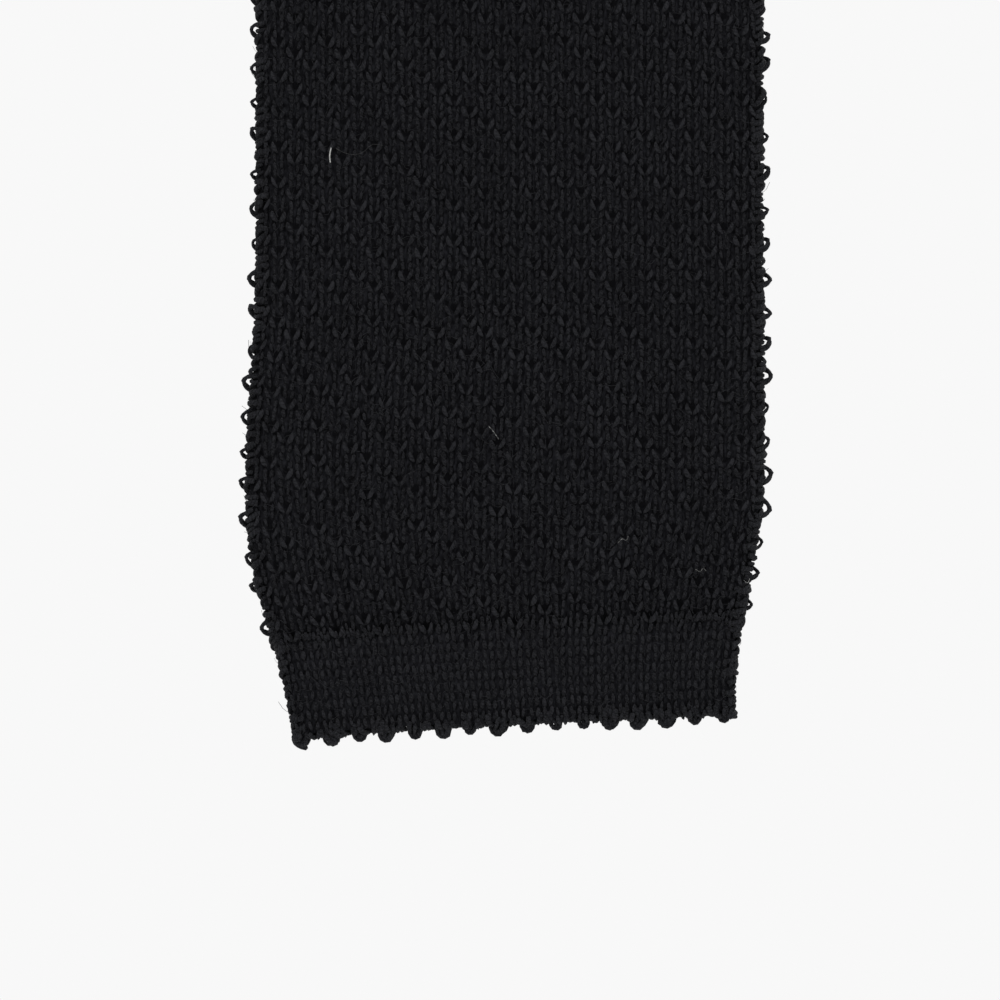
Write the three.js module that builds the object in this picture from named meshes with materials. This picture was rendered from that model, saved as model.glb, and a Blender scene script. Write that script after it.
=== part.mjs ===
// A knitted necktie hanging over a rail: the blade in front (towards -Y), the tail behind it (towards +Y).
// Millimetres, +Z up. The origin is on the rail's axis, which runs along X through the fold of the neck.
//
// The tie is knitted as two plies, a front and a back one, joined by a chain of loops along each edge and
// closed at each end by a plain hem band with a picot cast-off. A place on it is given by s, the distance
// along the tie from the blade's end, u, the distance to the right of its middle, and v, the height above
// the plane between the two plies, positive towards the face side.
import * as THREE from 'three';

// Lengths along the tie.
const BLADE_DROP = 760;         // blade's end to the level of the rail's axis
const TAIL_DROP = 650;          // tail's end to the same level
const BLADE_FULL = 330;         // full-width length of the blade
const BLADE_TAPER = 230;        // then the length that narrows to the neck
const TAIL_FULL = 300;
const TAIL_TAPER = 150;
const HEM_HEIGHT = 12.7;
const PICOT_HEIGHT = 1.5;
const END_SLANT = 3.5;          // how much higher the blade's end is on the right than on the left
const SLANT_FADE = 60;          // the height over which that slant dies away

// Widths.
const BLADE_WIDTH = 60;
const HEM_DRAW = 7.2;           // how much narrower the hem makes the blade's end
const BLADE_SWELL = 1.4;        // extra width where the knitting relaxes above the drawn-in hem
const NECK_WIDTH = 32;
const TAIL_WIDTH = 44;
const TAIL_HEM_DRAW = 4;
const DRAW_IN = 30;             // the height over which a hem draws the knitting in
const EDGE_WIDTH = 1.4;         // chain of loops along each edge
const PICOT_PITCH = 3.3;

// Thicknesses and gaps.
const PLY = 1.5;
const CLEARANCE = 0.3;          // between pieces that touch
const RAIL_RADIUS = 10;
const TAPE_INSET = 6;           // from each edge of the neck to the stay tape between the plies
const TAPE_THICK = 0.4;
const TAPE_BLADE_REACH = 180;   // how far the stay tape runs down each side from the rail's level
const TAPE_TAIL_REACH = 140;

// Bends: where the cloth is allowed to hinge, and the room each bend needs.
const NECK_REACH = 40;          // straight cloth below the rail's level that stays with the fold
const BLADE_BEND = 400;         // from the blade's end
const BLADE_END_BEND = 140;
const TAIL_BEND = 320;          // from the tail's end
const BEND_GAP = 1.8;

// Keeper label, sewn across the back of the blade by its two ends, and the care label below it.
const KEEPER_AT = 205;          // its middle, from the blade's end
const KEEPER_INSET = 3;         // from each edge of the blade to its ends
const KEEPER_HEIGHT = 20;
const KEEPER_GAP = 5.2;         // between it and the blade, for the tail to pass
const KEEPER_TAB = 3;           // the stretch at each end that is sewn down
const KEEPER_RISE = 2.5;        // the width over which it leaves the blade
const LABEL_THICK = 0.5;
const TACK_WIDTH = 1.2;
const TACK_THICK = 0.4;
const CARE_AT = 172;            // its top edge, from the blade's end
const CARE_WIDTH = 22;
const CARE_LENGTH = 16;
const CARE_SEAM = 2.4;          // the strip of it that is sewn down
const CARE_BEND = 0.8;          // free cloth between that strip and the part that flips

// Worked out from these.
const BLADE_END_WIDTH = BLADE_WIDTH - HEM_DRAW;
const TAIL_END_WIDTH = TAIL_WIDTH - TAIL_HEM_DRAW;
const KEEPER_WIDTH = BLADE_WIDTH - 2 * KEEPER_INSET;
const TAPE_WIDTH = NECK_WIDTH - 2 * TAPE_INSET;
const PLY_GAP = TAPE_THICK + 2 * CLEARANCE;
const HALF = PLY + PLY_GAP / 2;
const FOLD_RADIUS = RAIL_RADIUS + CLEARANCE + HALF;
const FOLD_LENGTH = Math.PI * FOLD_RADIUS;
const TAIL_TOP = BLADE_DROP + FOLD_LENGTH;
const LENGTH = TAIL_TOP + TAIL_DROP;

const knit = new THREE.MeshStandardMaterial({ color: 0x17171a, roughness: 0.95, metalness: 0 });
const tape = new THREE.MeshStandardMaterial({ color: 0x1b1b1d, roughness: 0.7, metalness: 0 });
const satin = new THREE.MeshStandardMaterial({ color: 0x202024, roughness: 0.5, metalness: 0 });
const thread = new THREE.MeshStandardMaterial({ color: 0x141416, roughness: 0.6, metalness: 0 });
const tie = new THREE.Group();

const smooth = (t) => { const c = Math.min(1, Math.max(0, t)); return c * c * (3 - 2 * c); };
const mix = (a, b, t) => a + (b - a) * t;

// Half of the tie's width at s, edge chains included.
function halfWidth(s) {
  const d = LENGTH - s;
  if (s < BLADE_DROP) {
    const drawn = mix(BLADE_END_WIDTH, BLADE_WIDTH, smooth(s / DRAW_IN));
    const swell = BLADE_SWELL * smooth(s / DRAW_IN) * (1 - smooth((s - DRAW_IN) / DRAW_IN));
    return mix(drawn + swell, NECK_WIDTH, smooth((s - BLADE_FULL) / BLADE_TAPER)) / 2;
  }
  const drawn = mix(TAIL_END_WIDTH, TAIL_WIDTH, smooth(d / DRAW_IN));
  return mix(drawn, NECK_WIDTH, smooth((d - TAIL_FULL) / TAIL_TAPER)) / 2;
}

// The point of space at s, u, v: down the blade, over the rail, and down the tail.
function place(s, u, v) {
  const reach = FOLD_RADIUS + v;
  if (s <= BLADE_DROP) {
    const slant = END_SLANT * (u / BLADE_END_WIDTH + 0.5) * (1 - smooth(s / SLANT_FADE));
    return new THREE.Vector3(u, -reach, s - BLADE_DROP + slant);
  }
  if (s < TAIL_TOP) {
    const angle = (s - BLADE_DROP) / FOLD_RADIUS;
    return new THREE.Vector3(u, -reach * Math.cos(angle), reach * Math.sin(angle));
  }
  return new THREE.Vector3(u, reach, TAIL_TOP - s);
}

// A closed solid through rings of equally many points, with flat ends.
function loft(rings) {
  const n = rings[0].length;
  const faces = [];
  for (let i = 0; i + 1 < rings.length; i++) {
    for (let j = 0; j < n; j++) {
      const a = i * n + j;
      const b = i * n + ((j + 1) % n);
      faces.push(a, b, b + n, a, b + n, a + n);
    }
  }
  const last = (rings.length - 1) * n;
  for (let j = 1; j + 1 < n; j++) faces.push(0, j + 1, j, last, last + j, last + j + 1);
  const points = rings.flat();
  let volume = 0;
  for (let i = 0; i < faces.length; i += 3) {
    const [a, b, c] = [points[faces[i]], points[faces[i + 1]], points[faces[i + 2]]];
    volume += a.dot(new THREE.Vector3().crossVectors(b, c));
  }
  if (volume < 0) faces.reverse();
  const geometry = new THREE.BufferGeometry().setFromPoints(points);
  geometry.setIndex(faces);
  geometry.computeVertexNormals();
  return geometry;
}

function add(name, geometry, material) {
  const mesh = new THREE.Mesh(geometry, material);
  mesh.name = name;
  tie.add(mesh);
}

// Half the thickness at a distance from a bend, where the cloth's cut end is rounded so that it can turn.
const rounded = (distance) => (distance >= HALF ? HALF : Math.sqrt(HALF ** 2 - (HALF - distance) ** 2));
const FIRST_STEP = HALF - Math.sqrt(HALF ** 2 - (PLY_GAP / 2 + CLEARANCE) ** 2);

// Where a piece from s0 to s1 has its rings: close together round a bend's end and over the rail.
function stations(s0, s1, bend0, bend1) {
  const list = [];
  const turns = [FIRST_STEP, HALF * 0.25, HALF * 0.55, HALF];
  if (bend0) turns.forEach((t) => list.push(s0 + t)); else list.push(s0);
  let s = list[list.length - 1];
  const stop = bend1 ? s1 - HALF : s1;
  while (s < stop - 1e-6) {
    const overRail = s > BLADE_DROP - 1 && s < TAIL_TOP - 1e-6;
    const next = s + (overRail ? FOLD_LENGTH / 18 : 10);
    const corners = [BLADE_DROP, TAIL_TOP, stop].filter((c) => c > s + 1e-6 && c < next + 0.5);
    s = corners.length ? Math.min(...corners) : next;
    list.push(s);
  }
  if (bend1) turns.slice(0, -1).reverse().forEach((t) => list.push(s1 - t));
  return list;
}

// One ply of a stretch of the tie: side is 1 for the face side and -1 for the reverse.
function ply(name, side, s0, s1, bend0, bend1, inset) {
  const rings = stations(s0, s1, bend0, bend1).map((s) => {
    const h = halfWidth(s) - inset;
    const near = bend0 ? s - s0 : HALF;
    const far = bend1 ? s1 - s : HALF;
    const top = rounded(Math.min(near, far)) * side;
    const bottom = (PLY_GAP / 2) * side;
    return [place(s, -h, bottom), place(s, h, bottom), place(s, h, top), place(s, -h, top)];
  });
  add(name, loft(rings), knit);
}

// The chain of loops along one edge of a stretch: hand is -1 for the left edge and 1 for the right.
function edge(name, hand, s0, s1, bend0, bend1) {
  const rings = stations(s0, s1, bend0, bend1).map((s) => {
    const out = halfWidth(s) * hand;
    const back = out - EDGE_WIDTH * hand;
    const shoulder = out - EDGE_WIDTH * 0.35 * hand;
    const t = rounded(Math.min(bend0 ? s - s0 : HALF, bend1 ? s1 - s : HALF));
    const crown = t * 0.5;
    return [place(s, back, -t), place(s, shoulder, -t), place(s, out, -crown),
      place(s, out, crown), place(s, shoulder, t), place(s, back, t)];
  });
  add(name, loft(rings), knit);
}

// Two plies and two edge chains: one stretch of the knitted tube between two bends or ends.
function stretch(name, s0, s1, bend0, bend1) {
  const inset = EDGE_WIDTH + CLEARANCE;
  ply(`${name}_front_ply`, 1, s0, s1, bend0, bend1, inset);
  ply(`${name}_back_ply`, -1, s0, s1, bend0, bend1, inset);
  edge(`${name}_left_edge`, -1, s0, s1, bend0, bend1);
  edge(`${name}_right_edge`, 1, s0, s1, bend0, bend1);
}

// A hem: a plain band on each ply and the picot cast-off that closes the tube. start is the end of the tie
// and way is 1 where s grows into the tie.
function hem(name, start, way) {
  const inner = start + way * (HEM_HEIGHT - CLEARANCE);
  const outer = start + way * (PICOT_HEIGHT + CLEARANCE);
  const [s0, s1] = [Math.min(inner, outer), Math.max(inner, outer)];
  ply(`${name}_front_band`, 1, s0, s1, false, false, 0);
  ply(`${name}_back_band`, -1, s0, s1, false, false, 0);

  const half = halfWidth(start);
  const count = Math.round((2 * half) / PICOT_PITCH);
  const pitch = (2 * half) / count;
  const rings = [];
  for (let i = 0; i <= count * 4; i++) {
    const u = -half + (i * pitch) / 4;
    const low = start + way * PICOT_HEIGHT * [0.75, 0.2, 0, 0.2][i % 4];
    const high = start + way * PICOT_HEIGHT;
    rings.push([place(low, u, -PLY * 0.6), place(low, u, PLY * 0.6), place(high, u, PLY), place(high, u, -PLY)]);
  }
  for (const ring of rings) ring.forEach((p) => p.setX(THREE.MathUtils.clamp(p.x, -half, half)));
  add(`${name}_picot_edge`, loft(rings), knit);
}

// A flat strip that lies along the tie between heights v0 and v1.
function strip(name, material, s0, s1, width, v0, v1) {
  const h = width / 2;
  const rings = stations(s0, s1, false, false)
    .map((s) => [place(s, -h, v0), place(s, h, v0), place(s, h, v1), place(s, -h, v1)]);
  add(name, loft(rings), material);
}

const room = BEND_GAP / 2;
const bladeSwing = BLADE_DROP - NECK_REACH;
const tailSwing = TAIL_TOP + NECK_REACH;
const tailBend = LENGTH - TAIL_BEND;

// The knitted tube, from the blade's end to the tail's end.
hem('blade_hem', 0, 1);
stretch('blade_end', HEM_HEIGHT, BLADE_END_BEND - room, false, true);
stretch('blade_lower', BLADE_END_BEND + room, BLADE_BEND - room, true, true);
stretch('blade_upper', BLADE_BEND + room, bladeSwing - room, true, true);
stretch('neck', bladeSwing + room, tailSwing - room, true, true);
stretch('tail_upper', tailSwing + room, tailBend - room, true, true);
stretch('tail_end', tailBend + room, LENGTH - HEM_HEIGHT, true, false);
hem('tail_hem', LENGTH, -1);

// The woven stay tape between the plies, which keeps the neck from stretching.
const tapeHalf = TAPE_THICK / 2;
const tapeStart = BLADE_DROP - TAPE_BLADE_REACH;
const tapeEnd = TAIL_TOP + TAPE_TAIL_REACH;
strip('blade_stay_tape', tape, tapeStart, bladeSwing - room, TAPE_WIDTH, -tapeHalf, tapeHalf);
strip('neck_stay_tape', tape, bladeSwing + room, tailSwing - room, TAPE_WIDTH, -tapeHalf, tapeHalf);
strip('tail_stay_tape', tape, tailSwing + room, tapeEnd, TAPE_WIDTH, -tapeHalf, tapeHalf);

// The keeper: a blank woven label that stands off the blade's back between its two sewn ends.
const seat = -HALF - CLEARANCE;
const keeperRings = [[-KEEPER_WIDTH / 2, 0], [-KEEPER_WIDTH / 2 + KEEPER_TAB, 0]];
keeperRings.push([-KEEPER_WIDTH / 2 + KEEPER_TAB + KEEPER_RISE, KEEPER_GAP - CLEARANCE]);
keeperRings.push(...keeperRings.map(([u, v]) => [-u, v]).reverse());
const keeperLow = KEEPER_AT - KEEPER_HEIGHT / 2;
const keeperHigh = KEEPER_AT + KEEPER_HEIGHT / 2;
add('keeper_label', loft(keeperRings.map(([u, rise]) => {
  const v = seat - rise;
  return [place(keeperLow, u, v), place(keeperHigh, u, v),
    place(keeperHigh, u, v - LABEL_THICK), place(keeperLow, u, v - LABEL_THICK)];
})), satin);

// Bar tacks that sew the keeper's ends down, each on its tab.
for (const [name, hand] of [['keeper_left_tack', -1], ['keeper_right_tack', 1]]) {
  const middle = hand * (KEEPER_WIDTH / 2 - KEEPER_TAB / 2);
  const low = seat - LABEL_THICK - CLEARANCE;
  const height = KEEPER_HEIGHT - 2;
  const box = new THREE.BoxGeometry(TACK_WIDTH, TACK_THICK, height);
  const at = place(KEEPER_AT, middle, low - TACK_THICK / 2);
  const mesh = new THREE.Mesh(box, thread);
  mesh.name = name;
  mesh.position.copy(at);
  tie.add(mesh);
}

// The care label hangs from its seam, a row of stitches along the top of it.
const careFace = seat - LABEL_THICK;
strip('care_label', satin, CARE_AT - CARE_LENGTH, CARE_AT, CARE_WIDTH, seat, careFace);
strip('care_label_stitches', thread, CARE_AT + CARE_BEND, CARE_AT + CARE_BEND + CARE_SEAM,
  CARE_WIDTH, seat, seat - TACK_THICK);

export default tie;
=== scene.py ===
# A black knitted necktie, hanging over a rail that isn't shown: the blade in front, the tail behind it.
import math

import bpy
import numpy as np
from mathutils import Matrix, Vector


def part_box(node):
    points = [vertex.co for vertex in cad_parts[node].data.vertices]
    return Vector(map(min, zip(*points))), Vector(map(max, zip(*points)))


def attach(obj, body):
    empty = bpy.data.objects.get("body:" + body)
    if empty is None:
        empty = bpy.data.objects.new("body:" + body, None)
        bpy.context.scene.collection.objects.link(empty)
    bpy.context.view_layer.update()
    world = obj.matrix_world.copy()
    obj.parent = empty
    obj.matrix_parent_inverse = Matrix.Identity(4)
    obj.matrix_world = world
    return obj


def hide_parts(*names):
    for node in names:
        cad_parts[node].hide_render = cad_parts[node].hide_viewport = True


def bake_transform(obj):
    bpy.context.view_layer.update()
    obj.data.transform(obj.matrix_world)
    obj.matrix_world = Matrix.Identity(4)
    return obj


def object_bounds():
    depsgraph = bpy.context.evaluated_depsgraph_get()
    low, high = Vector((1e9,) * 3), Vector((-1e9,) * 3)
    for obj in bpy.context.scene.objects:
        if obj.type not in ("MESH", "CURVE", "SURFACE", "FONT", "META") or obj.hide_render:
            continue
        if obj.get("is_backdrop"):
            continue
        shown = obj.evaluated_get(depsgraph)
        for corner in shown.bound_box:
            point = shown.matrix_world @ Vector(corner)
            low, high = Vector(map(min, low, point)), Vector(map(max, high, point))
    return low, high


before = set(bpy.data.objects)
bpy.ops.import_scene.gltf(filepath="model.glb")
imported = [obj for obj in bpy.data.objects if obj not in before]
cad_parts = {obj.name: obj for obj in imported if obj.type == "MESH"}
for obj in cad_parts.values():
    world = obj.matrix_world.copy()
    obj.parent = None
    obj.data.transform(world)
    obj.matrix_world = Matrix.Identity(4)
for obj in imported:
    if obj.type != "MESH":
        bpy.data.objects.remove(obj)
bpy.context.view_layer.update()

MM = 0.001


# ---- The two plies of cloth ---------------------------------------------------------------------------
# The tie is one long flat tube of knitting, so it is two plies of cloth joined at their edges. This is the
# body of that cloth: the backs of the loops, which show as the dark between the stitches, and which are
# painted darker than the stitches as shade. It is knitted to shape on the machine: broad at the blade,
# narrow at the neck, and drawn in by the hem at each end.
face_reach = -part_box("blade_lower_front_ply")[0].y
reverse_reach = -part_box("blade_lower_back_ply")[1].y
fold_radius = (face_reach + reverse_reach) / 2
blade_drop = -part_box("blade_hem_picot_edge")[0].z
tail_top = blade_drop + math.pi * fold_radius
tie_length = tail_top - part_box("tail_hem_picot_edge")[0].z
top_of_fold = (blade_drop + tail_top) / 2
blade_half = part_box("blade_lower_right_edge")[1].x
neck_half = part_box("neck_right_edge")[1].x
tail_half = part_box("tail_end_right_edge")[1].x
blade_end_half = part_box("blade_hem_picot_edge")[1].x
tail_end_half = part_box("tail_hem_picot_edge")[1].x
blade_full, blade_taper = 330 * MM, 230 * MM
tail_full, tail_taper = 300 * MM, 150 * MM
draw_in, swell = 30 * MM, 0.7 * MM
end_slant, slant_fade = 3.1 * MM, 60 * MM
hem_height = 12.7 * MM
ripple_height, ripple_fade = 0.25 * MM, 20 * MM
ripple_along, ripple_across, ripple_slew = 31 * MM, 26 * MM, 90 * MM


def smooth(t):
    t = np.clip(t, 0, 1)
    return t * t * (3 - 2 * t)


def mix(a, b, t):
    return a + (b - a) * t


def half_width(s):
    """Half of the tie's width at s, the distance along it from the blade's end."""
    drawn = mix(blade_end_half, blade_half, smooth(s / draw_in))
    relaxed = swell * smooth(s / draw_in) * (1 - smooth((s - draw_in) / draw_in))
    blade = mix(drawn + relaxed, neck_half, smooth((s - blade_full) / blade_taper))
    d = tie_length - s
    tail = mix(tail_end_half, tail_half, smooth(d / draw_in))
    tail = mix(tail, neck_half, smooth((d - tail_full) / tail_taper))
    return np.where(s < blade_drop, blade, tail)


def lean(s):
    """How far the middle of the blade strays to the right where it was last smoothed flat by hand."""
    stations = np.array([0, 8, 20, 36, 52]) * MM
    strays = np.array([0.65, 0.05, -0.6, -0.5, 0]) * MM
    return np.interp(s, stations, strays)


def on_tie(s, u, v):
    """Points at s along the tie, u to the right of its middle, and v out from between its two plies."""
    s, u, v = (np.asarray(a, float) for a in (s, u, v))
    wave = np.sin(s / ripple_along + 0.7) * np.cos(u / ripple_across + s / ripple_slew)
    calm = smooth(s / ripple_fade) * smooth((tie_length - s) / ripple_fade)
    reach = fold_radius + v + ripple_height * wave * calm
    angle = np.clip((s - blade_drop) / fold_radius, 0, math.pi)
    below = np.minimum(s - blade_drop, 0) + np.minimum(tail_top - s, 0)
    uphill = np.clip(u / (2 * blade_end_half) + 0.5, 0, 1.2) ** 0.7
    slant = end_slant * uphill * (1 - smooth(s / slant_fade))
    return np.stack([u + lean(s) + 0 * reach, -reach * np.cos(angle),
                     reach * np.sin(angle) + below + slant], axis=-1)


# The stretches that each ply is made in: where they start and stop, and what they move with. A stretch
# that crosses a bend names the two bodies there and the bend.
stretches = {
    "blade_end": (0, 102 * MM, "blade_end", None, None),
    "blade_low": (102 * MM, 270 * MM, "blade_end", "blade_lower", "blade_end_bend"),
    "blade_mid": (270 * MM, 560 * MM, "blade_lower", "blade_upper", "blade_bend"),
    "blade_top": (560 * MM, top_of_fold, "blade_upper", "neck", "blade_swing"),
    "tail_top": (top_of_fold, 985 * MM, "neck", "tail_upper", "tail_swing"),
    "tail_mid": (985 * MM, 1300 * MM, "tail_upper", "tail_end", "tail_bend"),
    "tail_end": (1300 * MM, tie_length, "tail_end", None, None),
}
sides = {"front": 1, "back": -1}


def hang(piece, stretch):
    """Makes a piece move with its stretch of the tie where that stretch lies on one body. On a stretch that
    crosses a bend the piece is not attached and does not bend; its place is only baked into its mesh.
    """
    s0, s1, first, second, bend = stretches[stretch]
    if second is None:
        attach(piece, first)
        return
    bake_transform(piece)


wale_pitch = 1.875 * MM
edge_width = 0.9 * MM
ground_level = 1.0 * MM
ground_thick = 0.45 * MM
ground_inset = 1.05 * MM
map_wales = 1000.0
points_across = 25


def wales_across(s):
    """Half the number of wales in a ply at s. A hem draws the wales together and loses none."""
    full = np.where(s < blade_drop, blade_half, tail_half)
    shaped = (s > blade_full) & (s < tie_length - tail_full)
    return (np.where(shaped, half_width(s), full) - edge_width) / wale_pitch


def add_object(name, data):
    made = bpy.data.objects.new(name, data)
    bpy.context.scene.collection.objects.link(made)
    return made


def grid_mesh(name, points, chart, map_name, facing=1):
    """A mesh through rows of points, with a map of its own. Facing is -1 to turn its face round."""
    count, across = points.shape[:2]
    ids = np.arange(count * across).reshape(count, across)
    quads = np.stack([ids[:-1, :-1], ids[:-1, 1:], ids[1:, 1:], ids[1:, :-1]], axis=-1).reshape(-1, 4)
    mesh = bpy.data.meshes.new(name)
    mesh.from_pydata(points.reshape(-1, 3).tolist(), [], quads[:, ::facing].tolist())
    corner = np.empty(len(mesh.loops), np.int32)
    mesh.loops.foreach_get("vertex_index", corner)
    mesh.uv_layers.new(name=map_name).data.foreach_set("uv", chart.reshape(-1, 2)[corner].reshape(-1))
    mesh.polygons.foreach_set("use_smooth", [True] * len(mesh.polygons))
    return mesh


def cloth_surface(name, side, s0, s1, inset, step, wales=wales_across):
    """One layer of a ply, facing out, with a map on it: thousands of wales across, and metres along."""
    count = max(3, math.ceil((s1 - s0) / step) + 1)
    s = np.linspace(s0, s1, count)[:, None]
    share = np.linspace(-1, 1, points_across)[None, :]
    points = on_tie(s, share * (half_width(s) - inset), side * ground_level + 0 * share)
    chart = np.stack(np.broadcast_arrays(side * share * wales(s) / map_wales, s), axis=-1)
    return add_object(name, grid_mesh(name, points, chart, "cloth", side))


def made_plain(source, name):
    """The finished mesh of an object with modifiers, as a plain piece; the source is taken away."""
    graph = bpy.context.evaluated_depsgraph_get()
    mesh = bpy.data.meshes.new_from_object(source.evaluated_get(graph), depsgraph=graph)
    rough = source.data
    bpy.data.objects.remove(source)
    bpy.data.meshes.remove(rough)
    mesh.name = name
    return add_object(name, mesh)


def node(tree, kind, **settings):
    made = tree.nodes.new(kind)
    for name, value in settings.items():
        setattr(made, name, value)
    return made


def feed(tree, socket, value):
    """Sets a socket's value, or links it to another socket."""
    if isinstance(value, bpy.types.NodeSocket):
        tree.links.new(value, socket)
    else:
        socket.default_value = value


def sums(tree, operation, *values):
    made = node(tree, "ShaderNodeMath", operation=operation)
    for socket, value in zip(made.inputs, values):
        feed(tree, socket, value)
    return made.outputs[0]


def vectors(tree, operation, *values):
    made = node(tree, "ShaderNodeVectorMath", operation=operation)
    places = (0, 3) if operation == "SCALE" else (0, 1)
    for place, value in zip(places, values):
        feed(tree, made.inputs[place], value)
    return made.outputs["Value" if operation == "LENGTH" else "Vector"]


def map_axes(tree, name):
    """The two axes of one of a mesh's maps."""
    split = node(tree, "ShaderNodeSeparateXYZ")
    feed(tree, split.inputs[0], node(tree, "ShaderNodeUVMap", uv_map=name).outputs["UV"])
    return split.outputs["X"], split.outputs["Y"]


def noise(tree, where, scale, detail):
    """A noise from 0 to 1 with so many lumps to the metre."""
    made = node(tree, "ShaderNodeTexNoise")
    feed(tree, made.inputs["Vector"], where)
    feed(tree, made.inputs["Scale"], scale)
    feed(tree, made.inputs["Detail"], detail)
    return made.outputs["Fac"]


def uneven(tree, base, pattern, share):
    """A base amount with a share of a noise added, above it and below it."""
    return sums(tree, "MULTIPLY_ADD", sums(tree, "SUBTRACT", pattern, 0.5), share, base)


def new_material(name, roughness, sheen, specular):
    material = bpy.data.materials.new(name)
    material.use_nodes = True
    shader = material.node_tree.nodes["Principled BSDF"]
    shader.inputs["Roughness"].default_value = roughness
    shader.inputs["Sheen Weight"].default_value = sheen
    shader.inputs["Sheen Roughness"].default_value = 0.45
    shader.inputs["Specular IOR Level"].default_value = specular
    return material, material.node_tree, shader


def shade_between(tree, shader, amount, dark, light):
    """Colours a shader from dark to light by an amount."""
    range_node = node(tree, "ShaderNodeMapRange")
    feed(tree, range_node.inputs["Value"], amount)
    blend = node(tree, "ShaderNodeMix", data_type="RGBA")
    feed(tree, blend.inputs["Factor"], range_node.outputs["Result"])
    blend.inputs[6].default_value = (*dark, 1)
    blend.inputs[7].default_value = (*light, 1)
    feed(tree, shader.inputs["Base Color"], blend.outputs[2])


def raise_fibres(tree, shader, height, strength, depth):
    bump = node(tree, "ShaderNodeBump")
    feed(tree, bump.inputs["Strength"], strength)
    feed(tree, bump.inputs["Distance"], depth)
    feed(tree, bump.inputs["Height"], height)
    feed(tree, shader.inputs["Normal"], bump.outputs["Normal"])


# The hole in the knitting above a V's foot: its size, in wales across and in millimetres along, and how
# far above the foot it is.
pattern_height = 4.12
hole_width, hole_length, hole_rise = 0.24, 0.5, 1.05
# How strongly painted shade darkens the ground cloth in each hole.
hole_shade_strength = 1.05
hollow_grain, hollow_share = 3600.0, 3.0


def hole_shade(tree):
    """1 in the hole that each V leaves open above its foot, and 0 round it, on the map of the cloth."""
    chart_x, chart_y = map_axes(tree, "cloth")
    wale = sums(tree, "MULTIPLY", chart_x, map_wales)
    column = sums(tree, "FLOOR", wale)
    rise = sums(tree, "MULTIPLY_ADD", column, pattern_height / 3, 0.01)
    rise = sums(tree, "MULTIPLY_ADD", chart_y, 1 / MM, rise)
    rise = sums(tree, "FLOORED_MODULO", rise, pattern_height)
    across = sums(tree, "SUBTRACT", sums(tree, "SUBTRACT", wale, column), 0.5)
    across = sums(tree, "DIVIDE", across, hole_width)
    along = sums(tree, "DIVIDE", sums(tree, "SUBTRACT", rise, hole_rise), hole_length)
    far = sums(tree, "ADD", sums(tree, "POWER", sums(tree, "ABSOLUTE", across), 2.0),
               sums(tree, "POWER", sums(tree, "ABSOLUTE", along), 2.0))
    return sums(tree, "MAXIMUM", sums(tree, "SUBTRACT", 1.0, far), 0.0)


def hollow_material(name, with_hole_shade, base_tone):
    """The yarn at the bottom of the cloth, which little light reaches, and least of all under a V."""
    material, tree, shader = new_material(name, 0.95, 0.0, 0.05)
    where = node(tree, "ShaderNodeTexCoord").outputs["Object"]
    drawn_out = vectors(tree, "MULTIPLY", where, (1.0, 1.0, 0.42))
    fibres = noise(tree, drawn_out, hollow_grain, 3.0)
    shade = uneven(tree, base_tone, fibres, hollow_share)
    if with_hole_shade:
        # Painted shade: the ground cloth is darker in each hole above a V's foot.
        shade = sums(tree, "MULTIPLY_ADD", hole_shade(tree), -hole_shade_strength, shade)
    shade_between(tree, shader, shade, (0.0017, 0.0017, 0.0022), (0.0098, 0.01, 0.012))
    raise_fibres(tree, shader, fibres, 0.6, 0.2 * MM)
    return material


hollow_yarn = hollow_material("yarn in the hollows", True, 0.34)
hem_hollow_yarn = hollow_material("yarn under the hem stitches", False, 0.41)


def ground_cloth(name, side, s0, s1, inset, material):
    surface = cloth_surface(name, side, s0, s1, inset, 4 * MM)
    wall = surface.modifiers.new("wall", "SOLIDIFY")
    wall.thickness = ground_thick
    wall.offset = -1
    cloth = made_plain(surface, name)
    cloth.data.materials.append(material)
    return cloth


grounds = {}
for stretch, (s0, s1, *_) in stretches.items():
    low = hem_height if stretch == "blade_end" else s0
    high = tie_length - hem_height if stretch == "tail_end" else s1
    for side_name, side in sides.items():
        ground = ground_cloth(f"{stretch}_{side_name}_cloth", side, low, high, ground_inset, hollow_yarn)
        hang(ground, stretch)
        grounds[stretch, side_name] = ground


# ---- The lattice knit ---------------------------------------------------------------------------------
# The stitches on the face of each ply, in soft black wool and silk yarn. Every fourth stitch of a wale is
# knitted with the yarn held from the rows before it, so it stands up as a wide V with three small plain
# stitches above it. From one wale to the next the V comes a third of the pattern lower.
speck_grain, patch_grain = 5200.0, 170.0
speck_share, fibre_share, patch_share = 3.4, 3.4, 0.9
lie_round, lie_along, lie_by_tone = 9.0, 2.5, 40.0


def xyz(tree, *values):
    made = node(tree, "ShaderNodeCombineXYZ")
    for socket, value in zip(made.inputs, values):
        feed(tree, socket, value)
    return made.outputs[0]


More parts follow.
